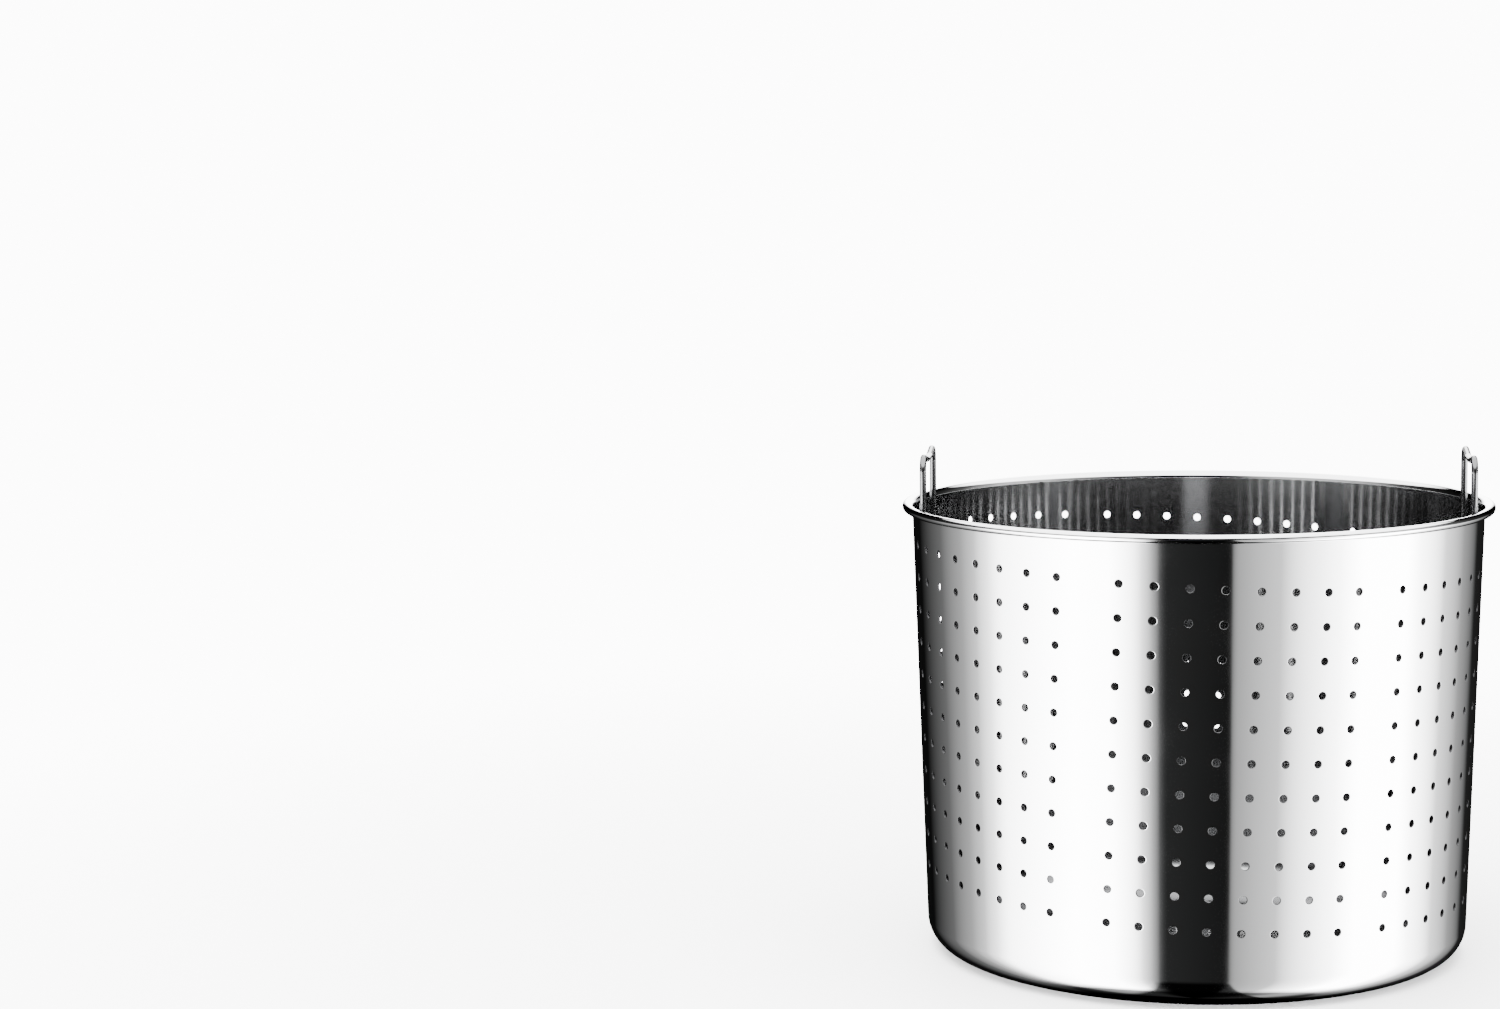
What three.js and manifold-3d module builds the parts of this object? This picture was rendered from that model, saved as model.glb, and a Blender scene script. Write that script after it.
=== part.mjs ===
// Lift-out strainer basket for a large stock pot: a drawn sheet-steel basket with a
// rolled rim, and two folding wire handles that stand inside the wall.
// Millimetres. The basket stands on z = 0, its axis is Z, and the handles are at +X and -X.
import * as THREE from "three";
import Module from "manifold-3d";

const wasm = await Module();
wasm.setup();
const { Manifold, CrossSection } = wasm;

// Basket
const HEIGHT = 271; // base to the top of the rim
const TOP_RADIUS = 170; // outside of the wall under the rim
const BASE_RADIUS = 162; // outside of the wall just above the corner
const SHEET = 1;
const CORNER = 18; // outside radius between wall and base

// Drain holes in the wall: patches of columns on a grid that leans a little. Square holes
// stand for round ones of the same area, and each column of holes keeps to one flat of the wall.
const PATCH_CENTRES = [-51.9, 7.5, 65.2, 121.6, 177.9, 234.7]; // degrees from the front towards +X
const PATCH_COLUMNS = 8;
const COLUMN_PITCH = 6.69; // degrees
const ROWS = 11;
const ROW_PITCH = 19.4;
const FIRST_ROW = HEIGHT - 30.6;
const GRID_LEAN = 2.8; // degrees; the right side of the grid sits low
const HOLE_DIAMETER = 4.6;
const WIDE_GAP_FLATS = 3; // flats across the widest blank strip

// Rolled rim
const CURL_RADIUS = 2.5; // outside of the curl
const CURL_CENTRE = TOP_RADIUS + 3.5;
const FLARE = 3.5; // inside radius of the turn from the wall out to the curl
const CURL_END = -150; // degrees round the curl, from straight out
const CORE_RADIUS = 0.9;
const CORE_SEGMENTS = 72;

// Handles
const HANDLE_X = 161; // plane in which an upright handle stands
const WIRE_RADIUS = 2;
const LEG_SPAN = 74; // between leg centrelines
const HINGE_Z = HEIGHT - 20;
const HANDLE_TOP = HEIGHT + 30;
const TOP_BEND = 8;
const GRIP_SLOPE = 8; // degrees: the grip dips from both corners to its middle
const GRIP_SLOPE_LENGTH = 18;
const FOOT_BEND = 5;
const FOOT_LENGTH = 15;
const WIRE_SIDES = 12;

// Lugs
const EYE_RADIUS = WIRE_RADIUS + 0.3;
const BARREL_RADIUS = 3.6;
const LUG_INNER_Y = 19;
const LUG_OUTER_Y = 29;
const LUG_PAD_X = HANDLE_X + 2.2; // inner face of the pad that lies against the wall
const LUG_PAD_DROP = 15;
const WALL_GAP = 0.6; // clears the flats of the faceted wall

const STEEL = new THREE.MeshStandardMaterial({ color: 0xd6d8da, metalness: 1, roughness: 0.12 });
const WIRE = new THREE.MeshStandardMaterial({ color: 0xcbcdd0, metalness: 1, roughness: 0.2 });
const SATIN = new THREE.MeshStandardMaterial({ color: 0xb9bbbe, metalness: 1, roughness: 0.4 });

const radians = THREE.MathUtils.degToRad;
const point = (x, y) => new THREE.Vector2(x, y);

// Points round an arc in the profile's plane, both ends included.
function arc(cx, cy, radius, from, to, steps) {
  const points = [];
  for (let i = 0; i <= steps; i++) {
    const a = radians(from + ((to - from) * i) / steps);
    points.push(point(cx + radius * Math.cos(a), cy + radius * Math.sin(a)));
  }
  return points;
}

// Outside radius of the wall at a height.
function wallRadius(z) {
  const low = CORNER;
  const high = HEIGHT - CURL_RADIUS * 2;
  return BASE_RADIUS + ((TOP_RADIUS - BASE_RADIUS) * (z - low)) / (high - low);
}

// Edges of the wall's flats all the way round, in degrees, and which of them are drilled.
function wallFlats() {
  const edges = [];
  const drilled = [];
  const half = (PATCH_COLUMNS * COLUMN_PITCH) / 2;
  PATCH_CENTRES.forEach((centre, i) => {
    for (let column = 0; column < PATCH_COLUMNS; column++) {
      edges.push(centre - half + column * COLUMN_PITCH);
      drilled.push(true);
    }
    const next = i + 1 < PATCH_CENTRES.length ? PATCH_CENTRES[i + 1] : PATCH_CENTRES[0] + 360;
    const start = centre + half;
    const gap = next - half - start;
    const flats = gap > 2 * COLUMN_PITCH ? WIDE_GAP_FLATS : 1;
    for (let flat = 0; flat < flats; flat++) {
      edges.push(start + (gap * flat) / flats);
      drilled.push(false);
    }
  });
  return { edges, drilled };
}

const FLATS = wallFlats();
const FLAT_COUNT = FLATS.edges.length;

// A closed solid turned from a profile that starts and ends on the axis, with one flat
// between each two of the wall's edges.
function revolve(profile) {
  const positions = [];
  const index = [];
  const rings = profile.slice(1, -1);
  for (const { x, y } of rings) {
    for (const edge of FLATS.edges) {
      const a = radians(edge);
      positions.push(x * Math.sin(a), -x * Math.cos(a), y);
    }
  }
  const low = positions.length / 3;
  positions.push(0, 0, profile[0].y, 0, 0, profile[profile.length - 1].y);
  for (let u = 0; u < FLAT_COUNT; u++) {
    const next = (u + 1) % FLAT_COUNT;
    for (let r = 0; r + 1 < rings.length; r++) {
      const a = r * FLAT_COUNT;
      const b = a + FLAT_COUNT;
      index.push(a + u, a + next, b + next, a + u, b + next, b + u);
    }
    const last = (rings.length - 1) * FLAT_COUNT;
    index.push(low, next, u, low + 1, last + u, last + next);
  }
  return new Manifold(
    new wasm.Mesh({
      numProp: 3,
      vertProperties: new Float32Array(positions),
      triVerts: new Uint32Array(index),
    }),
  );
}

// Radius of the middle of one of the wall's flats at a height, on the outside.
function flatRadius(flat, z) {
  const next = flat + 1 < FLAT_COUNT ? FLATS.edges[flat + 1] : FLATS.edges[0] + 360;
  return wallRadius(z) * Math.cos(radians(next - FLATS.edges[flat]) / 2);
}

// One square cutter for each drain hole, pointing at the basket's axis.
function holeCutters() {
  const positions = [];
  const index = [];
  const side = HOLE_DIAMETER * Math.sqrt(Math.PI / 4);
  const middle = FIRST_ROW - ((ROWS - 1) * ROW_PITCH) / 2;
  const lean = radians(GRID_LEAN);
  for (let flat = 0; flat < FLAT_COUNT; flat++) {
    if (!FLATS.drilled[flat]) continue;
    const upright = radians(FLATS.edges[flat] + COLUMN_PITCH / 2);
    for (let row = 0; row < ROWS; row++) {
      const height = FIRST_ROW - row * ROW_PITCH;
      const rise = height - middle;
      const across = wallRadius(height) * Math.sin(upright);
      const z = middle - across * Math.sin(lean) + rise * Math.cos(lean);
      const x = across * Math.cos(lean) + rise * Math.sin(lean);
      const a = Math.atan2(x, wallRadius(height) * Math.cos(upright));
      const first = positions.length / 3;
      const radius = flatRadius(flat, z);
      for (const reach of [radius - 4, radius + 3]) {
        for (const [along, up] of [[-1, -1], [1, -1], [1, 1], [-1, 1]]) {
          positions.push(
            reach * Math.sin(a) + (along * side * Math.cos(a)) / 2,
            -reach * Math.cos(a) + (along * side * Math.sin(a)) / 2,
            z + (up * side) / 2,
          );
        }
      }
      const corners = [0, 3, 2, 0, 2, 1, 4, 5, 6, 4, 6, 7];
      for (let i = 0; i < 4; i++) {
        const j = (i + 1) % 4;
        corners.push(i, j, j + 4, i, j + 4, i + 4);
      }
      index.push(...corners.map((corner) => first + corner));
    }
  }
  return new Manifold(
    new wasm.Mesh({
      numProp: 3,
      vertProperties: new Float32Array(positions),
      triVerts: new Uint32Array(index),
    }),
  );
}

function basketShell() {
  const flareZ = HEIGHT - SHEET - FLARE;
  const curlZ = HEIGHT - CURL_RADIUS;
  const cornerX = BASE_RADIUS - CORNER;
  const profile = [
    point(0, 0),
    ...arc(cornerX, CORNER, CORNER, -90, 0, 3),
    point(TOP_RADIUS, flareZ),
    ...arc(CURL_CENTRE, flareZ, FLARE, 180, 90, 2).slice(1),
    ...arc(CURL_CENTRE, curlZ, CURL_RADIUS - SHEET, 90, CURL_END, 3).slice(1),
    ...arc(CURL_CENTRE, curlZ, CURL_RADIUS, CURL_END, 90, 3),
    ...arc(CURL_CENTRE, flareZ, FLARE + SHEET, 90, 180, 2).slice(1),
    ...arc(cornerX, CORNER, CORNER - SHEET, 0, -90, 3),
    point(0, SHEET),
  ];
  return geometryOf(revolve(profile).subtract(holeCutters()).simplify(0.002));
}

function rimCore() {
  return new THREE.TorusGeometry(CURL_CENTRE - 0.2, CORE_RADIUS, 8, CORE_SEGMENTS).translate(
    0,
    0,
    HEIGHT - CURL_RADIUS,
  );
}

// Centreline of a bent wire in the YZ plane, walked as straight runs and round bends.
class WirePath {
  constructor(y, z, heading) {
    this.stations = [{ y, z, heading: radians(heading) }];
  }
  step(length, turn) {
    const last = this.stations[this.stations.length - 1];
    const mid = last.heading + turn / 2;
    this.stations.push({
      y: last.y + length * Math.cos(mid),
      z: last.z + length * Math.sin(mid),
      heading: last.heading + turn,
    });
  }
  run(length) {
    this.step(length, 0);
    return this;
  }
  bend(radius, degrees, steps) {
    const turn = radians(degrees) / steps;
    for (let i = 0; i < steps; i++) this.step(2 * radius * Math.sin(Math.abs(turn) / 2), turn);
    return this;
  }
}

// Round wire along a path, with flat ends.
function sweepWire(path, x) {
  const positions = [];
  const index = [];
  for (const { y, z, heading } of path.stations) {
    for (let i = 0; i < WIRE_SIDES; i++) {
      const a = (2 * Math.PI * i) / WIRE_SIDES;
      const side = WIRE_RADIUS * Math.sin(a);
      positions.push(
        x + WIRE_RADIUS * Math.cos(a),
        y - side * Math.sin(heading),
        z + side * Math.cos(heading),
      );
    }
  }
  const rings = path.stations.length;
  for (let r = 0; r + 1 < rings; r++) {
    for (let i = 0; i < WIRE_SIDES; i++) {
      const a = r * WIRE_SIDES + i;
      const b = r * WIRE_SIDES + ((i + 1) % WIRE_SIDES);
      index.push(a, a + WIRE_SIDES, b, b, a + WIRE_SIDES, b + WIRE_SIDES);
    }
  }
  const last = (rings - 1) * WIRE_SIDES;
  for (let i = 1; i + 1 < WIRE_SIDES; i++) {
    index.push(0, i, i + 1);
    index.push(last, last + i + 1, last + i);
  }
  const geometry = new THREE.BufferGeometry();
  geometry.setAttribute("position", new THREE.Float32BufferAttribute(positions, 3));
  geometry.setIndex(index);
  return geometry;
}

// A folding handle: feet turned in towards each other, two legs and a dipped grip.
function handle(x) {
  const halfSpan = LEG_SPAN / 2;
  const foot = FOOT_LENGTH;
  const leg = HANDLE_TOP - WIRE_RADIUS - TOP_BEND - (HINGE_Z + FOOT_BEND);
  const slope = radians(GRIP_SLOPE);
  const cornerReach = TOP_BEND * (1 + Math.sin(slope)) + GRIP_SLOPE_LENGTH * Math.cos(slope);
  const easeReach = TOP_BEND * Math.sin(slope);
  const path = new WirePath(-(halfSpan - FOOT_BEND - foot), HINGE_Z, 180)
    .run(foot)
    .bend(FOOT_BEND, -90, 5)
    .run(leg)
    .bend(TOP_BEND, -90 - GRIP_SLOPE, 7)
    .run(GRIP_SLOPE_LENGTH)
    .bend(TOP_BEND, GRIP_SLOPE, 1)
    .run(2 * (halfSpan - cornerReach - easeReach))
    .bend(TOP_BEND, GRIP_SLOPE, 1)
    .run(GRIP_SLOPE_LENGTH)
    .bend(TOP_BEND, -90 - GRIP_SLOPE, 7)
    .run(leg)
    .bend(FOOT_BEND, -90, 5)
    .run(foot);
  return sweepWire(path, x);
}

// Solid that fills the basket up to just inside its wall.
function insideOfWall() {
  const low = HINGE_Z - LUG_PAD_DROP - 5;
  const high = HEIGHT - 5;
  const inset = SHEET + WALL_GAP;
  return Manifold.cylinder(
    high - low,
    wallRadius(low) - inset,
    wallRadius(high) - inset,
    CORE_SEGMENTS,
  ).translate(0, 0, low);
}

function geometryOf(solid) {
  const mesh = solid.getMesh();
  const positions = new Float32Array(mesh.numVert * 3);
  for (let i = 0; i < mesh.numVert; i++) {
    positions.set(mesh.vertProperties.subarray(i * mesh.numProp, i * mesh.numProp + 3), i * 3);
  }
  const geometry = new THREE.BufferGeometry();
  geometry.setAttribute("position", new THREE.BufferAttribute(positions, 3));
  geometry.setIndex(new THREE.BufferAttribute(mesh.triVerts, 1));
  return geometry;
}

// One hinge eye with the pad that is spot-welded to the wall. End is +1 or -1 along Y.
function lug(side, end) {
  const barrel = CrossSection.circle(BARREL_RADIUS, 20).translate(HANDLE_X, HINGE_Z);
  const eye = CrossSection.circle(EYE_RADIUS, 16).translate(HANDLE_X, HINGE_Z);
  const pad = CrossSection.square([10, LUG_PAD_DROP + 2]).translate(
    LUG_PAD_X,
    HINGE_Z - LUG_PAD_DROP,
  );
  const width = LUG_OUTER_Y - LUG_INNER_Y;
  // The section is drawn in XY, so turning it about X stands it up and runs it along -Y.
  const bar = barrel.add(pad).subtract(eye).extrude(width).rotate(90, 0, 0);
  const placed = end > 0 ? bar.translate(0, LUG_OUTER_Y, 0) : bar.translate(0, -LUG_INNER_Y, 0);
  const cut = placed.intersect(insideOfWall());
  return geometryOf(side > 0 ? cut : cut.mirror([1, 0, 0]));
}

const group = new THREE.Group();
function add(name, geometry, material) {
  const mesh = new THREE.Mesh(geometry, material);
  mesh.name = name;
  group.add(mesh);
}

add("basket_shell", basketShell(), STEEL);
add("rim_core_wire", rimCore(), WIRE);
for (const [sideName, side] of [["left", -1], ["right", 1]]) {
  add(`${sideName}_handle`, handle(side * HANDLE_X), WIRE);
  add(`${sideName}_front_lug`, lug(side, -1), SATIN);
  add(`${sideName}_rear_lug`, lug(side, 1), SATIN);
}

export default group;
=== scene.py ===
"""The look of the lift-out strainer basket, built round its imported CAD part.
Everything is in the part's frame, in metres: Z is the basket's axis and the base stands on z = 0."""

import math

import bpy
from mathutils import Matrix, Vector
from mathutils.geometry import delaunay_2d_cdt


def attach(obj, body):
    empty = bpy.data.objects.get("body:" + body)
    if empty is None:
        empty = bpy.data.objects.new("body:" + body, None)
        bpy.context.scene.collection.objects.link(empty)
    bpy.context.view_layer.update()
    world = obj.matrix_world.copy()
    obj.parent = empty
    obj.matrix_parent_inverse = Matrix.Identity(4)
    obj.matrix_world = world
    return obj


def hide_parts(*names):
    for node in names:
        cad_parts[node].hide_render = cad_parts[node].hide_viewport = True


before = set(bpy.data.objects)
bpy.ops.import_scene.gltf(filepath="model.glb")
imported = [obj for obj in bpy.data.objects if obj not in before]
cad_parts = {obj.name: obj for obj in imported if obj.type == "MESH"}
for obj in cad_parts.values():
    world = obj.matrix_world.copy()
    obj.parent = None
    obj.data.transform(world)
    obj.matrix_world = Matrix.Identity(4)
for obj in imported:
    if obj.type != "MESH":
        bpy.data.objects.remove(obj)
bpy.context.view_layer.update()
scene = bpy.context.scene
MM = 0.001
UP = Vector((0, 0, 1))

# ---------------------------------------------------------------- sizes, as in the CAD part
HEIGHT = 271 * MM
TOP_RADIUS = 170 * MM
BASE_RADIUS = 162 * MM
SHEET = 1 * MM
CORNER = 18 * MM
CURL_RADIUS = 2.5 * MM
CURL_CENTRE = TOP_RADIUS + 3.5 * MM
FLARE = 3.5 * MM
CURL_END = -150  # degrees round the curl, from straight out
LIP_ROUNDING = 0.4 * MM
WALL_TOP = HEIGHT - SHEET - FLARE
HANDLE_X = 161 * MM
WIRE_RADIUS = 2 * MM
LEG_SPAN = 74 * MM
HINGE_Z = HEIGHT - 20 * MM
HANDLE_TOP = HEIGHT + 30 * MM
TOP_BEND = 8 * MM
GRIP_SLOPE = 8  # degrees: the grip dips from both corners to its middle
GRIP_SLOPE_LENGTH = 18 * MM
FOOT_BEND = 5 * MM
FOOT_LENGTH = 15 * MM
LUG_INNER_Y = 19 * MM
LUG_OUTER_Y = 29 * MM
EYE_RADIUS = WIRE_RADIUS + 0.3 * MM
STRAP = 1.3 * MM
PAD_DROP = 15 * MM
WALL_GAP = 0.25 * MM  # between a lug's pad and the wall
WELD_DROPS = (7.5 * MM, 12.3 * MM)  # below the hinge
PAD_END = 3 * MM  # below the hinge, where the strap leaves the wall
EYE_SWEEP = 320  # degrees that the strap wraps round the wire
LUG_BEVEL = 0.2 * MM
SHARP = math.radians(40)  # a lug's edge sharper than this is bevelled

# Drain holes in the wall: six patches of eight columns, on a grid that leans a little.
PATCH_CENTRES = (-51.9, 7.5, 65.2, 121.6, 177.9, 234.7)  # degrees from the front towards +X
PATCH_COLUMNS = 8
COLUMN_PITCH = 6.69  # degrees
ROWS = 11
ROW_PITCH = 19.4 * MM
FIRST_ROW = HEIGHT - 30.6 * MM
GRID_LEAN = math.radians(2.8)  # the right side of the grid sits low
HOLE_RADIUS = 2.3 * MM
CELL_SIDE = 4  # mesh steps along each side of a hole's cell
WIDE_GAP_CELLS = 3  # cells across the widest blank strip

# Drain holes in the base, in rings.
BASE_RINGS = 6
BASE_RING_PITCH = 20 * MM

# Mesh steps along the sections of the shell, the handles and the lugs.
FLARE_STEPS = 8
BARE_CURL_STEPS = 12
CURL_STEPS = 22
CORNER_STEPS = 12
WIRE_SIDES = 28
FOOT_BEND_STEPS = 12
TOP_BEND_STEPS = 16
DIP_BEND_STEPS = 3
PAD_STEPS = 8
EYE_STEPS = 22
STRAP_ROWS = 7
WELD_SIDES = 24


# ---------------------------------------------------------------- camera
CAMERA_PLACE = (0, -1.9358, 0.4891)
CAMERA_TURN = -0.1388  # radians to the right
CAMERA_DIP = 0.1131
CAMERA_ROLL = -0.0120
LENS = 77.04
SENSOR_WIDTH = 36


def make_camera():
    """Stands in front of the basket, a little above its rim, and aims past its left side."""
    flat = math.cos(CAMERA_DIP)
    ahead = Vector(
        (math.sin(CAMERA_TURN) * flat, math.cos(CAMERA_TURN) * flat, -math.sin(CAMERA_DIP))
    )
    level = ahead.cross(UP).normalized()
    above = level.cross(ahead)
    right = level * math.cos(CAMERA_ROLL) + above * math.sin(CAMERA_ROLL)
    up = above * math.cos(CAMERA_ROLL) - level * math.sin(CAMERA_ROLL)
    facing = Matrix((right, up, -ahead)).transposed().to_4x4()
    camera = bpy.data.objects.new("camera", bpy.data.cameras.new("camera"))
    camera.data.lens = LENS
    camera.data.sensor_width = SENSOR_WIDTH
    camera.matrix_world = Matrix.Translation(CAMERA_PLACE) @ facing
    scene.collection.objects.link(camera)
    scene.camera = camera


make_camera()


# ---------------------------------------------------------------- materials
NOISE_MIDDLE = (0.3, 0.7)  # most noise values lie in this range
# Stretch along each axis, scale and detail of each noise.
CLOUDS = ((1, 1, 1), 24, 4)
MARKS = ((1, 1, 12), 260, 3)
WAVES = ((1, 1, 0.45), 9, 1)
BRUSHED_WAVES = ((1, 1, 0.02), 90, 1)
BUMP_STRENGTH = 0.5


def node_material(name):
    material = bpy.data.materials.new(name)
    material.use_nodes = True
    tree = material.node_tree
    return material, tree, tree.nodes["Principled BSDF"]


def scaled_noise(tree, scale, noise_scale, detail):
    """Noise in object space, stretched by scale along each axis."""
    place = tree.nodes.new("ShaderNodeTexCoord")
    mapping = tree.nodes.new("ShaderNodeMapping")
    mapping.inputs["Scale"].default_value = scale
    noise = tree.nodes.new("ShaderNodeTexNoise")
    noise.inputs["Scale"].default_value = noise_scale
    noise.inputs["Detail"].default_value = detail
    tree.links.new(place.outputs["Object"], mapping.inputs["Vector"])
    tree.links.new(mapping.outputs["Vector"], noise.inputs["Vector"])
    return noise.outputs["Fac"]


def between(tree, value, low, high):
    """Spreads the middle of a noise value over low to high."""
    spread = tree.nodes.new("ShaderNodeMapRange")
    spread.inputs["From Min"].default_value = NOISE_MIDDLE[0]
    spread.inputs["From Max"].default_value = NOISE_MIDDLE[1]
    spread.inputs["To Min"].default_value = low
    spread.inputs["To Max"].default_value = high
    tree.links.new(value, spread.inputs["Value"])
    return spread.outputs["Result"]


def bump_of(tree, distance, height):
    """Bump of a height's noise value, scaled to a distance in metres."""
    bump = tree.nodes.new("ShaderNodeBump")
    bump.inputs["Strength"].default_value = BUMP_STRENGTH
    bump.inputs["Distance"].default_value = distance
    tree.links.new(height, bump.inputs["Height"])
    return bump


def steel(name, colour, roughness, marks, ripple, waves=WAVES):
    """Stainless steel. Roughness is a low and a high value. Marks are fine polishing lines and
    ripple is the slow waviness of drawn sheet, both as heights in metres. Waves is its noise."""
    material, tree, shader = node_material(name)
    shader.inputs["Base Color"].default_value = (*colour, 1)
    shader.inputs["Metallic"].default_value = 1
    cloudy = scaled_noise(tree, *CLOUDS)
    tree.links.new(between(tree, cloudy, *roughness), shader.inputs["Roughness"])
    fine = bump_of(tree, marks, scaled_noise(tree, *MARKS))
    slow = bump_of(tree, ripple, scaled_noise(tree, *waves))
    tree.links.new(fine.outputs["Normal"], slow.inputs["Normal"])
    tree.links.new(slow.outputs["Normal"], shader.inputs["Normal"])
    return material


def brush_round_the_axis(material):
    """Polishing lines run round the basket, so what the steel mirrors is drawn out up and down."""
    tree = material.node_tree
    shader = tree.nodes["Principled BSDF"]
    shader.inputs["Anisotropic"].default_value = 0.95
    shader.inputs["Anisotropic Rotation"].default_value = 0.25
    around = tree.nodes.new("ShaderNodeTangent")
    around.direction_type = "RADIAL"
    around.axis = "Z"
    tree.links.new(around.outputs["Tangent"], shader.inputs["Tangent"])


POLISHED = steel("polished_steel", (0.80, 0.805, 0.81), (0.035, 0.075), 0.000004, 0.0002)
# The inside of the sheet takes a far darker base colour than the outside. This is painted shade for
# the dim inside of the basket. The brushing round the axis is real.
INSIDE_PAINTED_SHADE = steel(
    "brushed_inside_painted_shade", (0.26, 0.262, 0.266), (0.10, 0.14), 0.000002, 0.00006, BRUSHED_WAVES
)
brush_round_the_axis(INSIDE_PAINTED_SHADE)
# The punched hole edges are painted near black: painted shade down the holes.
PUNCHED_PAINTED_SHADE = steel("punched_edge_painted_shade", (0.05, 0.05, 0.052), (0.5, 0.65), 0.00001, 0.00001)
# The handle wire's base colour is painted dark. This is painted shade, standing in for the dark room
# that the polished wire mirrors.
WIRE_PAINTED_DARK = steel("polished_wire", (0.13, 0.131, 0.133), (0.16, 0.24), 0.000006, 0.00002)
CORE = steel("plain_wire", (0.58, 0.58, 0.59), (0.32, 0.42), 0.00001, 0.00002)
SATIN = steel("satin_steel", (0.66, 0.665, 0.67), (0.24, 0.36), 0.00001, 0.00003)
WELD = steel("weld_mark", (0.50, 0.48, 0.45), (0.35, 0.5), 0.00003, 0.00002)


# ---------------------------------------------------------------- mesh helpers
class Surface:
    """Points that faces share, each with the normal it is shaded by."""

    def __init__(self):
        self.places = []
        self.normals = []
        self.faces = []
        self.slots = []
        self.index = {}

    def point(self, key, place, normal):
        if key not in self.index:
            self.index[key] = len(self.places)
            self.places.append(place)
            self.normals.append(normal)
        return self.index[key]

    def face(self, *corners, slot=0):
        self.faces.append(corners)
        self.slots.append(slot)

    def band(self, upper, lower, slot=0):
        """Faces between two closed rings, seen from outside with upper on top."""
        for i, here in enumerate(upper):
            after = (i + 1) % len(upper)
            self.face(here, lower[i], lower[after], upper[after], slot=slot)

    def build(self, name, *materials):
        mesh = bpy.data.meshes.new(name)
        mesh.from_pydata(self.places, [], self.faces)
        mesh.polygons.foreach_set("use_smooth", [True] * len(mesh.polygons))
        mesh.normals_split_custom_set_from_vertices([n.normalized() for n in self.normals])
        for material in materials:
            mesh.materials.append(material)
        mesh.polygons.foreach_set("material_index", self.slots)
        made = bpy.data.objects.new(name, mesh)
        scene.collection.objects.link(made)
        return made


def outwards(angle, across, along=0.0):
    """The direction, or point, at a distance out from the axis and a height."""
    return Vector((across * math.sin(angle), -across * math.cos(angle), along))


def arc(centre, radius, start, end, steps, facing=1):
    """Stations (radius, height, normal across, normal along) round an arc of the section."""
    stations = []
    for i in range(steps + 1):
        a = math.radians(start + (end - start) * i / steps)
        c, s = math.cos(a), math.sin(a)
        stations.append((centre[0] + radius * c, centre[1] + radius * s, facing * c, facing * s))
    return stations


# ---------------------------------------------------------------- basket shell
OUTSIDE, INSIDE, EDGE = range(3)  # material slots of the shell
WALL_SLOPE = (TOP_RADIUS - BASE_RADIUS) / (WALL_TOP - CORNER)
WALL_LEAN = math.atan(WALL_SLOPE)


def wall_radius(z):
    """Outside radius of the tapered wall at a height."""
    return BASE_RADIUS + WALL_SLOPE * (z - CORNER)


def wall_normal(angle):
    return outwards(angle, math.cos(WALL_LEAN), -math.sin(WALL_LEAN))


def column_edges():
    """Edges of the wall's cells all the way round, in degrees, and whether each cell has holes."""
    edges, drilled = [], []
    half = PATCH_COLUMNS * COLUMN_PITCH / 2
    for i, centre in enumerate(PATCH_CENTRES):
        for column in range(PATCH_COLUMNS):
            edges.append(centre - half + column * COLUMN_PITCH)
            drilled.append(True)
        after = PATCH_CENTRES[i + 1] if i + 1 < len(PATCH_CENTRES) else PATCH_CENTRES[0] + 360
        start, end = centre + half, after - half
        cells = WIDE_GAP_CELLS if end - start > 2 * COLUMN_PITCH else 1
        for cell in range(cells):
            edges.append(start + (end - start) * cell / cells)
            drilled.append(False)
    return edges + [edges[0] + 360], drilled


EDGES, DRILLED = column_edges()
AROUND = len(DRILLED) * CELL_SIDE
GRID_TOP = FIRST_ROW + ROW_PITCH / 2
GRID_MIDDLE = FIRST_ROW - (ROWS - 1) * ROW_PITCH / 2
GRID_BOTTOM = GRID_TOP - ROWS * ROW_PITCH
TOP_BANDS = 4
BOTTOM_BANDS = 4
DOWN = TOP_BANDS + ROWS * CELL_SIDE + BOTTOM_BANDS


def angle_at(u):
    """Angle of the wall's mesh line u round, before the grid leans."""
    cell, part = divmod(u % AROUND, CELL_SIDE)
    return math.radians(EDGES[cell] + (EDGES[cell + 1] - EDGES[cell]) * part / CELL_SIDE)


def leaned(angle, z):
    """Where a point of the upright hole grid lands on the wall once the grid leans."""
    x = wall_radius(z) * math.sin(angle)
    y = -wall_radius(z) * math.cos(angle)
    rise = z - GRID_MIDDLE
    new_x = x * math.cos(GRID_LEAN) + rise * math.sin(GRID_LEAN)
    new_z = GRID_MIDDLE - x * math.sin(GRID_LEAN) + rise * math.cos(GRID_LEAN)
    turned = math.atan2(new_x, -y)
    return turned + 2 * math.pi * round((angle - turned) / (2 * math.pi)), new_z


def wall_place(u, v):
    """Angle and height of the wall's mesh point u round and v down."""
    angle = angle_at(u)
    if v < TOP_BANDS:
        near = leaned(angle, GRID_TOP)
        part = v / TOP_BANDS
        return angle + (near[0] - angle) * part, WALL_TOP + (near[1] - WALL_TOP) * part
    if v > DOWN - BOTTOM_BANDS:
        near = leaned(angle, GRID_BOTTOM)
        part = (DOWN - v) / BOTTOM_BANDS
        return angle + (near[0] - angle) * part, CORNER + (near[1] - CORNER) * part
    return leaned(angle, GRID_TOP - (v - TOP_BANDS) * ROW_PITCH / CELL_SIDE)


def wall_point(shell, key, angle, z, depth, tip=0.0, towards=None):
    """A point at a depth under the wall's outer face. Its normal tips towards a direction."""
    normal = wall_normal(angle)
    place = outwards(angle, wall_radius(z), z) - normal * depth
    if towards is not None:
        flat = (towards - normal * towards.dot(normal)).normalized()
        normal = normal * math.cos(tip) + flat * math.sin(tip)
    return shell.point(key, place, normal)


def grid_point(shell, inside, u, v):
    """The wall's mesh point u round and v down, on the outer or the inner face."""
    angle, z = wall_place(u, v)
    key = ("wall", inside, u % AROUND, v)
    normal = wall_normal(angle)
    place = outwards(angle, wall_radius(z), z)
    if inside:
        return shell.point(key, place - normal * SHEET, -normal)
    return shell.point(key, place, normal)


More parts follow.
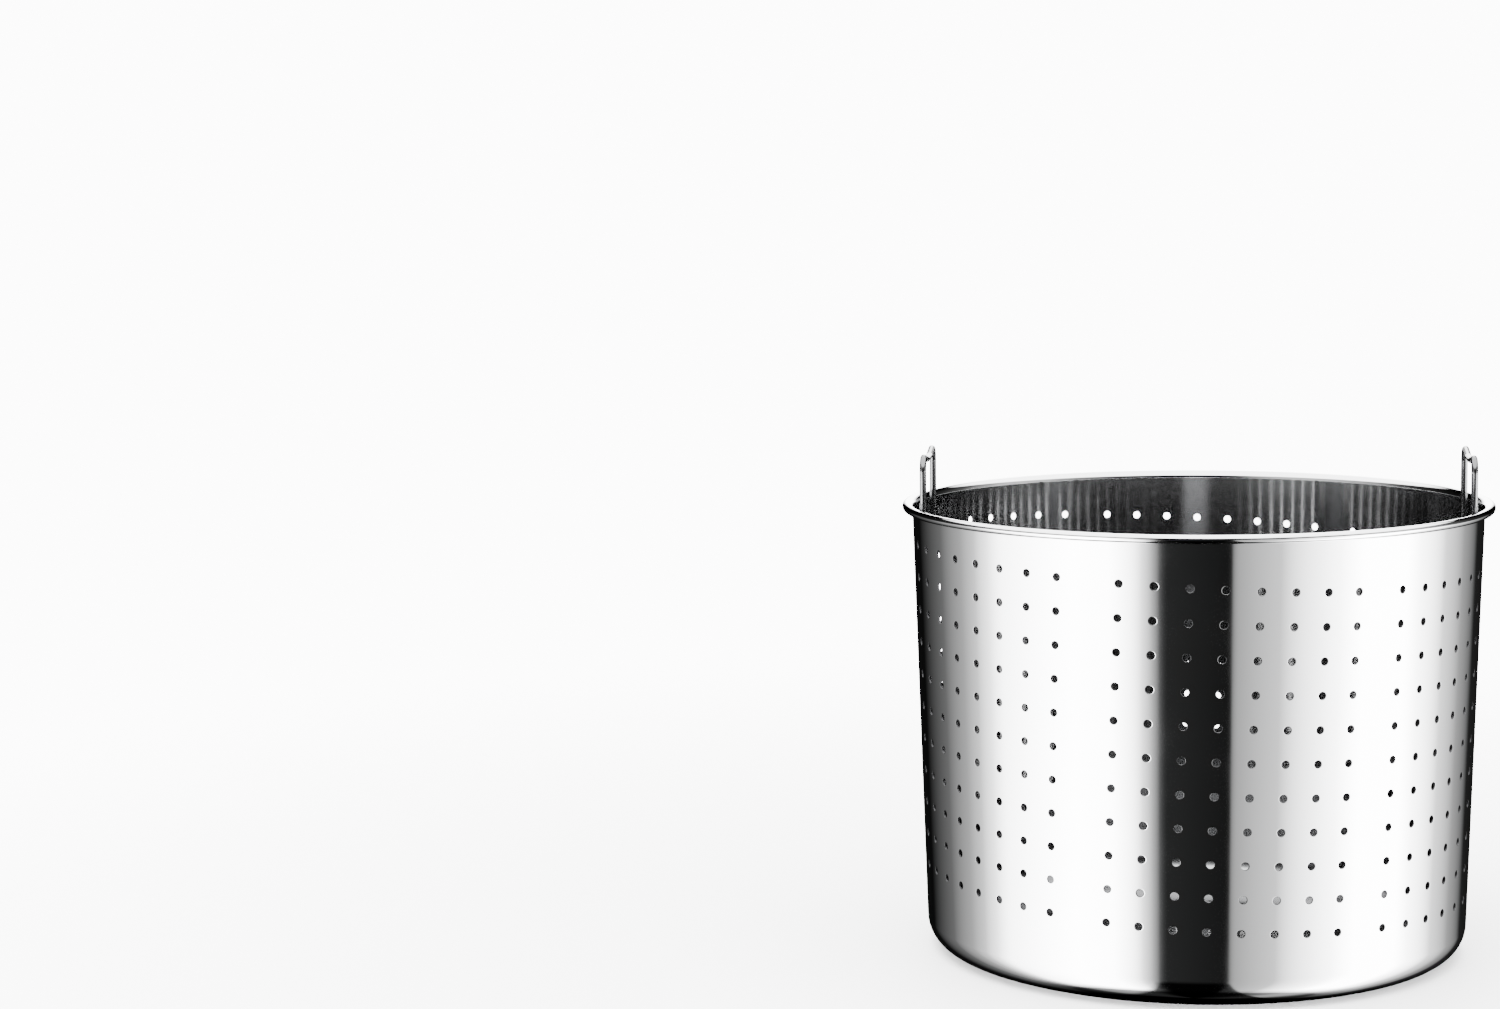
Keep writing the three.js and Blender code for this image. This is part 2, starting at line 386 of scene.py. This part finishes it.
# Rings down through a punched hole: growth of its radius, depth, and tip of the normal into it.
# The faces above each ring, and those below the last one, take the slots in PUNCH_SLOTS.
PUNCH = (
    (0.5 * MM, 0.0, 0),
    (0.16 * MM, 0.005 * MM, 8),
    (0.05 * MM, 0.05 * MM, 50),
    (0.0, 0.16 * MM, 88),
    (0.0, 0.84 * MM, 92),
    (0.16 * MM, SHEET, 180),
)
PUNCH_SLOTS = (OUTSIDE, OUTSIDE, EDGE, EDGE, EDGE, EDGE, INSIDE)
HOLE_SIDES = 4 * CELL_SIDE
HOLE_TURN = 2 * math.pi / HOLE_SIDES
HOLE_SPOKES = [
    Vector((math.cos(HOLE_TURN * k), math.sin(HOLE_TURN * k), 0)) for k in range(HOLE_SIDES)
]
INSIDE_HOLE = 0.965  # a triangle whose middle is within this share of a base hole's radius is in it


def cell_border(shell, inside, u, v):
    """The cell's border points, from its upper right corner round by the left."""
    n = CELL_SIDE
    path = [(u + n - i, v) for i in range(n)] + [(u, v + i) for i in range(n)]
    path += [(u + i, v + n) for i in range(n)] + [(u + n, v + n - i) for i in range(n)]
    return [grid_point(shell, inside, a, b) for a, b in path]


def punch_wall(shell, cell, row):
    """One cell of the wall with its punched hole, from the outer face through to the inner one."""
    u, v = cell * CELL_SIDE, TOP_BANDS + row * CELL_SIDE
    middle = math.radians((EDGES[cell] + EDGES[cell + 1]) / 2)
    height = FIRST_ROW - row * ROW_PITCH
    centre_angle, centre_z = leaned(middle, height)
    axis_point = outwards(centre_angle, wall_radius(centre_z), centre_z)
    rings = [cell_border(shell, False, u, v)]
    for i, (growth, depth, tip) in enumerate(PUNCH):
        ring = []
        reach = HOLE_RADIUS + growth
        for k in range(HOLE_SIDES):
            a = math.radians(45 + 360 * k / HOLE_SIDES)  # from the upper right, as the border runs
            angle, z = leaned(
                middle + reach * math.cos(a) / wall_radius(height), height + reach * math.sin(a)
            )
            towards = axis_point - outwards(angle, wall_radius(z), z)
            key = ("punch", cell, row, i, k)
            ring.append(wall_point(shell, key, angle, z, depth, math.radians(tip), towards))
        rings.append(ring)
    rings.append(cell_border(shell, True, u, v))
    for outer, inner, slot in zip(rings, rings[1:], PUNCH_SLOTS):
        for k, here in enumerate(outer):
            after = (k + 1) % len(outer)
            shell.face(here, outer[after], inner[after], inner[k], slot=slot)


def plain_cell(shell, u, v, wide, deep):
    """A blank part of the wall, on both faces."""
    for a in range(u, u + wide):
        for b in range(v, v + deep):
            for inside in (False, True):
                corners = [
                    grid_point(shell, inside, *c)
                    for c in ((a, b), (a, b + 1), (a + 1, b + 1), (a + 1, b))
                ]
                if inside:
                    shell.face(*reversed(corners), slot=INSIDE)
                else:
                    shell.face(*corners)


def ring_points(shell, name, stations):
    """One closed ring of points for each station of the section."""
    rings = []
    for i, (across, along, normal_across, normal_along) in enumerate(stations):
        ring = []
        for u in range(AROUND):
            a = angle_at(u)
            place = outwards(a, across, along)
            normal = outwards(a, normal_across, normal_along)
            ring.append(shell.point((name, i, u), place, normal))
        rings.append(ring)
    return rings


def rolled_rim(shell):
    """From the wall's outside, out and round the curl, and back to the wall's inside."""
    flare = (CURL_CENTRE, WALL_TOP)
    curl = (CURL_CENTRE, HEIGHT - CURL_RADIUS)
    bare = CURL_RADIUS - SHEET
    middle = bare + SHEET / 2
    end = math.radians(CURL_END)
    lip = (
        curl[0] + middle * math.cos(end) + LIP_ROUNDING * math.sin(end),
        curl[1] + middle * math.sin(end) - LIP_ROUNDING * math.cos(end),
        math.sin(end),
        -math.cos(end),
    )
    stations = arc(flare, FLARE, 180, 90, FLARE_STEPS, -1)[1:]
    stations += arc(curl, bare, 90, CURL_END, BARE_CURL_STEPS, -1)[1:]
    stations += [lip]
    stations += arc(curl, CURL_RADIUS, CURL_END, 90, CURL_STEPS)
    stations += arc(flare, FLARE + SHEET, 90, 180, FLARE_STEPS)[1:-1]
    rings = [[grid_point(shell, False, u, 0) for u in range(AROUND)]]
    rings += ring_points(shell, "rim", stations)
    rings += [[grid_point(shell, True, u, 0) for u in range(AROUND)]]
    for lower, upper in zip(rings, rings[1:]):
        shell.band(upper, lower)


def base_holes():
    """Centres of the base's holes. Every other ring is turned by half a pitch."""
    centres = []
    for ring in range(1, BASE_RINGS + 1):
        for i in range(6 * ring):
            a = 2 * math.pi * (i + 0.5 * (ring % 2)) / (6 * ring)
            centres.append(outwards(a, ring * BASE_RING_PITCH))
    return centres


def loop_edges(loops):
    """Edges of closed loops whose points are numbered one loop after the other."""
    edges, first = [], 0
    for loop in loops:
        edges += [(first + i, first + (i + 1) % len(loop)) for i in range(len(loop))]
        first += len(loop)
    return edges


def punch_base(shell, centre, hole, lower, upper):
    """The edge of one of the base's holes, between its loops under and over the sheet."""
    rings = [lower]
    for i, (growth, depth, tip) in enumerate(PUNCH[2:-1]):
        lean = math.radians(tip)
        ring = []
        for k, out in enumerate(HOLE_SPOKES):
            place = centre + out * (HOLE_RADIUS + growth) + UP * depth
            normal = -UP * math.cos(lean) - out * math.sin(lean)
            ring.append(shell.point(("base hole", hole, i, k), place, normal))
        rings.append(ring)
    rings.append(upper)
    for outer, inner in zip(rings, rings[1:]):
        shell.band(outer, inner, slot=EDGE)


def base_plate(shell, under, over):
    """The flat base between its outer rings, with its punched holes."""
    centres = base_holes()
    reach = HOLE_RADIUS + PUNCH[1][0]
    loops = [[shell.places[i].xy for i in under]]
    loops += [[(centre + out * reach).xy for out in HOLE_SPOKES] for centre in centres]
    flat = [place for loop in loops for place in loop]
    made = delaunay_2d_cdt(flat, loop_edges(loops), [], 0, 1e-7)
    source = [ids[0] for ids in made[3]]

    def corner(i, top):
        if i < len(under):
            return (over if top else under)[i]
        key = ("base", top, *divmod(i - len(under), HOLE_SIDES))
        height, facing = (SHEET, 1) if top else (0.0, -1)
        return shell.point(key, Vector((flat[i].x, flat[i].y, height)), UP * facing)

    for triangle in made[2]:
        a, b, c = [source[i] for i in triangle]
        middle = (flat[a] + flat[b] + flat[c]) / 3
        if any((middle - centre.xy).length < reach * INSIDE_HOLE for centre in centres):
            continue
        if (flat[b] - flat[a]).cross(flat[c] - flat[a]) < 0:
            b, c = c, b
        shell.face(corner(a, True), corner(b, True), corner(c, True), slot=INSIDE)
        shell.face(corner(a, False), corner(c, False), corner(b, False))
    for hole, centre in enumerate(centres):
        first = len(under) + hole * HOLE_SIDES
        lower = [corner(first + k, False) for k in range(HOLE_SIDES)]
        upper = [corner(first + k, True) for k in range(HOLE_SIDES)]
        punch_base(shell, centre, hole, lower, upper)


def basket_shell():
    """Wall, rolled rim, rounded corner and base as one closed sheet."""
    shell = Surface()
    for cell, has_holes in enumerate(DRILLED):
        u = cell * CELL_SIDE
        plain_cell(shell, u, 0, CELL_SIDE, TOP_BANDS)
        plain_cell(shell, u, DOWN - BOTTOM_BANDS, CELL_SIDE, BOTTOM_BANDS)
        if has_holes:
            for row in range(ROWS):
                punch_wall(shell, cell, row)
        else:
            plain_cell(shell, u, TOP_BANDS, CELL_SIDE, ROWS * CELL_SIDE)
    rolled_rim(shell)
    centre = (BASE_RADIUS - CORNER, CORNER)
    outside = [[grid_point(shell, False, u, DOWN) for u in range(AROUND)]]
    outside += ring_points(shell, "corner", arc(centre, CORNER, 0, -90, CORNER_STEPS)[1:])
    inside = [[grid_point(shell, True, u, DOWN) for u in range(AROUND)]]
    inner = arc(centre, CORNER - SHEET, 0, -90, CORNER_STEPS, -1)
    inside += ring_points(shell, "inner corner", inner[1:])
    for upper, lower in zip(outside, outside[1:]):
        shell.band(upper, lower)
    for upper, lower in zip(inside, inside[1:]):
        shell.band(lower, upper, slot=INSIDE)
    base_plate(shell, outside[-1], inside[-1])
    return shell.build("perforated_shell", POLISHED, INSIDE_PAINTED_SHADE, PUNCHED_PAINTED_SHADE)


shell = basket_shell()
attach(shell, "basket")
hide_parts("basket_shell")


# ---------------------------------------------------------------- handles
class WirePath:
    """Centreline of a bent wire in the YZ plane, walked as straight runs and round bends."""

    def __init__(self, y, z, heading):
        self.stations = [(y, z, math.radians(heading))]

    def step(self, length, turn):
        y, z, heading = self.stations[-1]
        mid = heading + turn / 2
        self.stations.append((y + length * math.cos(mid), z + length * math.sin(mid), heading + turn))

    def run(self, length):
        self.step(length, 0)
        return self

    def bend(self, radius, degrees, steps):
        turn = math.radians(degrees) / steps
        for _ in range(steps):
            self.step(2 * radius * math.sin(abs(turn) / 2), turn)
        return self


def handle_path():
    """From one foot in its lug, up the leg, along the dipping grip, and down to the other foot."""
    slope = math.radians(GRIP_SLOPE)
    half = LEG_SPAN / 2
    leg = HANDLE_TOP - WIRE_RADIUS - TOP_BEND - (HINGE_Z + FOOT_BEND)
    corner_reach = TOP_BEND * (1 + math.sin(slope)) + GRIP_SLOPE_LENGTH * math.cos(slope)
    ease_reach = TOP_BEND * math.sin(slope)
    path = WirePath(-(half - FOOT_BEND - FOOT_LENGTH), HINGE_Z, 180)
    path.run(FOOT_LENGTH).bend(FOOT_BEND, -90, FOOT_BEND_STEPS).run(leg)
    path.bend(TOP_BEND, -90 - GRIP_SLOPE, TOP_BEND_STEPS).run(GRIP_SLOPE_LENGTH)
    path.bend(TOP_BEND, GRIP_SLOPE, DIP_BEND_STEPS).run(2 * (half - corner_reach - ease_reach))
    path.bend(TOP_BEND, GRIP_SLOPE, DIP_BEND_STEPS).run(GRIP_SLOPE_LENGTH)
    path.bend(TOP_BEND, -90 - GRIP_SLOPE, TOP_BEND_STEPS).run(leg)
    path.bend(FOOT_BEND, -90, FOOT_BEND_STEPS).run(FOOT_LENGTH)
    return path.stations


# Rings that round off a wire's end: loss of radius, distance from the end, and tip of the normal.
WIRE_END = ((0.6 * MM, 0, 90), (0.18 * MM, 0.18 * MM, 45), (0, 0.6 * MM, 0))


def wire_handle(name, x):
    """Round wire along the handle's path, with rounded ends."""
    wire = Surface()
    stations = handle_path()

    def ring(index, station, radius, shift, lean):
        y, z, heading = station
        along = Vector((0, math.cos(heading), math.sin(heading)))
        side = Vector((0, -math.sin(heading), math.cos(heading)))
        centre = Vector((x, y, z)) + along * shift
        made = []
        for k in range(WIRE_SIDES):
            a = 2 * math.pi * k / WIRE_SIDES
            out = Vector((1, 0, 0)) * math.cos(a) + side * math.sin(a)
            normal = out * math.cos(lean) + along * math.sin(lean)
            made.append(wire.point((index, k), centre + out * radius, normal))
        return made

    rings = []
    for i, (loss, shift, tip) in enumerate(WIRE_END):
        lean = math.radians(tip)
        rings.append(ring(("start", i), stations[0], WIRE_RADIUS - loss, shift, -lean))
    for i, station in enumerate(stations[1:-1]):
        rings.append(ring(i, station, WIRE_RADIUS, 0, 0))
    for i, (loss, shift, tip) in enumerate(reversed(WIRE_END)):
        lean = math.radians(tip)
        rings.append(ring(("end", i), stations[-1], WIRE_RADIUS - loss, -shift, lean))
    for first, second in zip(rings, rings[1:]):
        wire.band(first, second)
    wire.face(*rings[0])
    wire.face(*reversed(rings[-1]))
    return wire.build(name, WIRE_PAINTED_DARK)


for side, x in (("left", -HANDLE_X), ("right", HANDLE_X)):
    made = wire_handle(f"{side}_wire_handle", x)
    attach(made, f"{side}_handle")
    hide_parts(f"{side}_handle")


# ---------------------------------------------------------------- lugs
def strap_section():
    """Stations (x, z, normal x, normal z, share that follows the wall) along the lug's strap."""
    middle = EYE_RADIUS + STRAP / 2
    stations = []
    for i in range(PAD_STEPS + 1):
        z = HINGE_Z - PAD_DROP + (PAD_DROP - PAD_END) * i / PAD_STEPS
        share = min(1.0, 1.0 - 0.25 * (i - PAD_STEPS + 2))
        stations.append((HANDLE_X + middle, z, 1, 0, share))
    stations.append((HANDLE_X + middle, HINGE_Z - PAD_END / 2, 1, 0, 0.15))
    for i in range(EYE_STEPS + 1):
        a = math.radians(EYE_SWEEP * i / EYE_STEPS)
        c, s = math.cos(a), math.sin(a)
        stations.append((HANDLE_X + middle * c, HINGE_Z + middle * s, c, s, 0.0))
    return stations


def wall_clear_x(y, z):
    """X of the wall's inside at a width and height, less a hair's gap."""
    inner = wall_radius(z) - SHEET - WALL_GAP
    return math.sqrt(inner * inner - y * y)


def strap_grid(side, end):
    """Points of the strap's two faces, and their numbers by station, row and face."""
    places, grid = [], []
    for x, z, normal_x, normal_z, share in strap_section():
        line = []
        for j in range(STRAP_ROWS):
            y = end * (LUG_INNER_Y + (LUG_OUTER_Y - LUG_INNER_Y) * j / (STRAP_ROWS - 1))
            shift = share * (wall_clear_x(y, z) - STRAP / 2 - x)
            for face in (-1, 1):
                face_x = x + shift + face * normal_x * STRAP / 2
                face_z = z + face * normal_z * STRAP / 2
                places.append((side * face_x, y, face_z))
            line.append((len(places) - 2, len(places) - 1))
        grid.append(line)
    return places, grid


def strap_faces(grid):
    """Quads over both faces of the strap, along its two edges, and across its two ends."""
    faces = []
    for near, far in zip(grid, grid[1:]):
        for j in range(STRAP_ROWS - 1):
            quad = (near[j], near[j + 1], far[j + 1], far[j])
            faces.append([pair[0] for pair in reversed(quad)])
            faces.append([pair[1] for pair in quad])
        faces.append([near[0][0], near[0][1], far[0][1], far[0][0]])
        faces.append([far[-1][0], far[-1][1], near[-1][1], near[-1][0]])
    for (inner, outer), (next_inner, next_outer) in zip(grid[0], grid[0][1:]):
        faces.append([inner, next_inner, next_outer, outer])
    for (inner, outer), (next_inner, next_outer) in zip(grid[-1], grid[-1][1:]):
        faces.append([outer, next_outer, next_inner, inner])
    return faces


def lug(name, side, end):
    """A bent strap with bevelled edges: a pad that follows the wall, and an eye round the wire."""
    places, grid = strap_grid(side, end)
    mesh = bpy.data.meshes.new(name)
    mesh.from_pydata(places, [], strap_faces(grid))
    if side * end < 0:
        mesh.flip_normals()
    mesh.polygons.foreach_set("use_smooth", [True] * len(mesh.polygons))
    mesh.set_sharp_from_angle(angle=SHARP)
    mesh.materials.append(SATIN)
    made = bpy.data.objects.new(name, mesh)
    scene.collection.objects.link(made)
    bevel = made.modifiers.new("edges", "BEVEL")
    bevel.width = LUG_BEVEL
    bevel.segments = 2
    bevel.limit_method = "ANGLE"
    bevel.angle_limit = SHARP
    return made


# Rings of a spot weld's mark, inwards: radius and height in millimetres, and tip of the normal.
WELD_RINGS = ((2.1, -0.15, 80), (1.9, 0.10, 40), (1.5, 0.16, -15), (0.9, 0.08, -8), (0.3, 0.06, 0))


def weld_mark(name, side, end, drop):
    """A spot weld's shallow round mark on the lug's pad."""
    y = end * (LUG_INNER_Y + LUG_OUTER_Y) / 2
    z = HINGE_Z - drop
    x = wall_clear_x(y, z) - STRAP
    mark = Surface()
    facing = Vector((-side * x, -y, 0)).normalized()
    across = UP.cross(facing)
    rings = []
    for i, (radius, height, tip) in enumerate(WELD_RINGS):
        lean = math.radians(tip)
        ring = []
        for k in range(WELD_SIDES):
            a = 2 * math.pi * k / WELD_SIDES
            out = across * math.cos(a) + UP * math.sin(a)
            place = Vector((side * x, y, z)) + out * radius * MM + facing * height * MM
            normal = facing * math.cos(lean) + out * math.sin(lean)
            ring.append(mark.point((i, k), place, normal))
        rings.append(ring)
    for outer, inner in zip(rings, rings[1:]):
        mark.band(inner, outer)
    mark.face(*rings[-1])
    mark.face(*reversed(rings[0]))
    return mark.build(name, WELD)


for side_name, side in (("left", -1), ("right", 1)):
    for end_name, end in (("front", -1), ("rear", 1)):
        node = f"{side_name}_{end_name}_lug"
        made = lug(f"{node}_strap", side, end)
        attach(made, "basket")
        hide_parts(node)
        for i, drop in enumerate(WELD_DROPS):
            spot = weld_mark(f"{node}_weld_{i}", side, end, drop)
            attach(spot, "basket")

# The wire in the rim is right as it is in CAD, and only gets its material.
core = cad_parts["rim_core_wire"]
core.data.materials.clear()
core.data.materials.append(CORE)


# ---------------------------------------------------------------- studio
# Brightness of the room by direction, in degrees round from the camera's side towards +X.
ROOM = (
    (-180, 0.006),
    (-150, 0.006),
    (-143, 0.05),
    (-125, 0.18),
    (-109, 0.6),
    (-100, 1.3),
    (-92, 3.5),
    (-84, 9),
    (-50, 18),
    (-34, 16),
    (-25, 7.5),
    (-21, 2.6),
    (-17, 0.8),
    (-14, 0.12),
    (-12, 0.03),
    (14, 0.014),
    (16, 0.6),
    (34, 1.35),
    (50, 6),
    (59, 9.5),
    (70, 18),
    (92, 18),
    (100, 10),
    (117, 2),
    (133, 0.52),
    (145, 0.2),
    (150, 0.02),
    (180, 0.006),
)
# Share of that brightness by the direction's height, from straight down at -1 to straight up.
HEIGHTS = (
    (-1, 0.02),
    (-0.9, 0.04),
    (-0.8, 1),
    (-0.06, 1),
    (0, 0.06),
    (1, 0.06),
)
# A dark strip on the table in front, by how far to the side it lies, and where it starts to tell.
STRIP = ((-1, 1), (-0.27, 1), (-0.21, 0.06), (0.235, 0.06), (0.25, 1), (1, 1))
STRIP_HEIGHTS = ((-1, 1), (-0.5, 1), (-0.35, 0), (1, 0))
# A white screen right behind the object: its share by direction, and by the direction's height.
SCREEN = ((-180, 1), (-174, 1), (-167, 0), (167, 0), (174, 1), (180, 1))
SCREEN_HEIGHTS = ((-1, 0), (-0.05, 0), (0.03, 1), (1, 1))
SCREEN_LIGHT = 12.0
CEILING = 7.0
CEILING_HEIGHTS = (0.5, 0.6)  # it fades in over these heights of the direction
BACKDROP = 12.0

FLOOR_SIDES = 96
FLOOR_RADIUS = 1.6
FLOOR_DROP = 0.2 * MM  # keeps the floor off the base
FLOOR_FADE = (0.25, 1.2)


def ramp_of(tree, value, low, high, stops):
    """A grey ramp of (value, grey) stops over low to high."""
    share = tree.nodes.new("ShaderNodeMapRange")
    share.inputs["From Min"].default_value = low
    share.inputs["From Max"].default_value = high
    tree.links.new(value, share.inputs["Value"])
    ramp = tree.nodes.new("ShaderNodeValToRGB")
    tree.links.new(share.outputs["Result"], ramp.inputs["Fac"])
    elements = ramp.color_ramp.elements
    for at, _ in stops[1:-1]:
        elements.new((at - stops[0][0]) / (stops[-1][0] - stops[0][0]))
    for element, (_, grey) in zip(elements, stops):
        element.color = (grey, grey, grey, 1)
    return ramp.outputs["Color"]


def mix(tree, kind, factor, first, second):
    """Mixes two colours, each given as a node output or as a grey."""
    node = tree.nodes.new("ShaderNodeMix")
    node.data_type = "RGBA"
    node.blend_type = kind
    for socket, value in (("Factor", factor), ("A", first), ("B", second)):
        if not isinstance(value, float):
            tree.links.new(value, node.inputs[socket])
        elif socket == "Factor":
            node.inputs[socket].default_value = value
        else:
            node.inputs[socket].default_value = (value, value, value, 1)
    return node.outputs["Result"]


def room_light():
    """Soft panels and dark gaps stand round the object. The camera sees only a white backdrop."""
    world = bpy.data.worlds.new("studio")
    world.use_nodes = True
    scene.world = world
    tree = world.node_tree
    background = tree.nodes["Background"]
    place = tree.nodes.new("ShaderNodeTexCoord")
    split = tree.nodes.new("ShaderNodeSeparateXYZ")
    tree.links.new(place.outputs["Generated"], split.inputs["Vector"])
    back = tree.nodes.new("ShaderNodeMath")
    back.operation = "MULTIPLY"
    back.inputs[1].default_value = -1
    tree.links.new(split.outputs["Y"], back.inputs[0])
    turn = tree.nodes.new("ShaderNodeMath")
    turn.operation = "ARCTAN2"
    tree.links.new(split.outputs["X"], turn.inputs[0])
    tree.links.new(back.outputs["Value"], turn.inputs[1])
    peak = max(value for _, value in ROOM)
    stops = [(degrees, value / peak) for degrees, value in ROOM]
    panels = ramp_of(tree, turn.outputs["Value"], -math.pi, math.pi, stops)
    level = ramp_of(tree, split.outputs["Z"], -1, 1, HEIGHTS)
    panels = mix(tree, "MULTIPLY", 1.0, panels, level)
    strip = ramp_of(tree, split.outputs["X"], -1, 1, STRIP)
    level = ramp_of(tree, split.outputs["Z"], -1, 1, STRIP_HEIGHTS)
    strip = mix(tree, "MIX", level, 1.0, strip)
    panels = mix(tree, "MULTIPLY", 1.0, panels, strip)
    screen = ramp_of(tree, turn.outputs["Value"], -math.pi, math.pi, SCREEN)
    level = ramp_of(tree, split.outputs["Z"], -1, 1, SCREEN_HEIGHTS)
    screen = mix(tree, "MULTIPLY", 1.0, screen, level)
    panels = mix(tree, "MIX", screen, panels, SCREEN_LIGHT / peak)
    ceiling = tree.nodes.new("ShaderNodeMapRange")
    ceiling.inputs["From Min"].default_value = CEILING_HEIGHTS[0]
    ceiling.inputs["From Max"].default_value = CEILING_HEIGHTS[1]
    tree.links.new(split.outputs["Z"], ceiling.inputs["Value"])
    room = mix(tree, "MIX", ceiling.outputs["Result"], panels, CEILING / peak)
    seen = tree.nodes.new("ShaderNodeLightPath")
    whole = mix(tree, "MIX", seen.outputs["Is Camera Ray"], room, BACKDROP / peak)
    tree.links.new(whole, background.inputs["Color"])
    background.inputs["Strength"].default_value = peak


def pale_floor():
    """A round pale floor that fades out into the backdrop. The steel doesn't mirror it."""
    mesh = bpy.data.meshes.new("floor")
    turn = 2 * math.pi / FLOOR_SIDES
    points = [outwards(turn * i, FLOOR_RADIUS, -FLOOR_DROP) for i in range(FLOOR_SIDES)]
    mesh.from_pydata(points, [], [tuple(range(FLOOR_SIDES))])
    floor = bpy.data.objects.new("floor", mesh)
    scene.collection.objects.link(floor)
    material, tree, shader = node_material("pale_floor")
    shader.inputs["Base Color"].default_value = (0.86, 0.86, 0.86, 1)
    shader.inputs["Roughness"].default_value = 0.7
    place = tree.nodes.new("ShaderNodeTexCoord")
    length = tree.nodes.new("ShaderNodeVectorMath")
    length.operation = "LENGTH"
    fade = tree.nodes.new("ShaderNodeMapRange")
    fade.interpolation_type = "SMOOTHSTEP"
    fade.inputs["From Min"].default_value = FLOOR_FADE[0]
    fade.inputs["From Max"].default_value = FLOOR_FADE[1]
    fade.inputs["To Min"].default_value = 1
    fade.inputs["To Max"].default_value = 0
    tree.links.new(place.outputs["Object"], length.inputs[0])
    tree.links.new(length.outputs["Value"], fade.inputs["Value"])
    tree.links.new(fade.outputs["Result"], shader.inputs["Alpha"])
    mesh.materials.append(material)
    floor.visible_glossy = False


def soft_box(name, place, size, power):
    """A square lamp that faces the origin and that the steel doesn't mirror."""
    light = bpy.data.lights.new(name, "AREA")
    light.size = size
    light.energy = power
    lamp = bpy.data.objects.new(name, light)
    lamp.location = place
    lamp.rotation_mode = "QUATERNION"
    lamp.rotation_quaternion = Vector(place).to_track_quat("Z", "Y")
    lamp.visible_glossy = False
    scene.collection.objects.link(lamp)


room_light()
pale_floor()
soft_box("top_light", (-0.2, -0.1, 2.2), size=2.4, power=300)
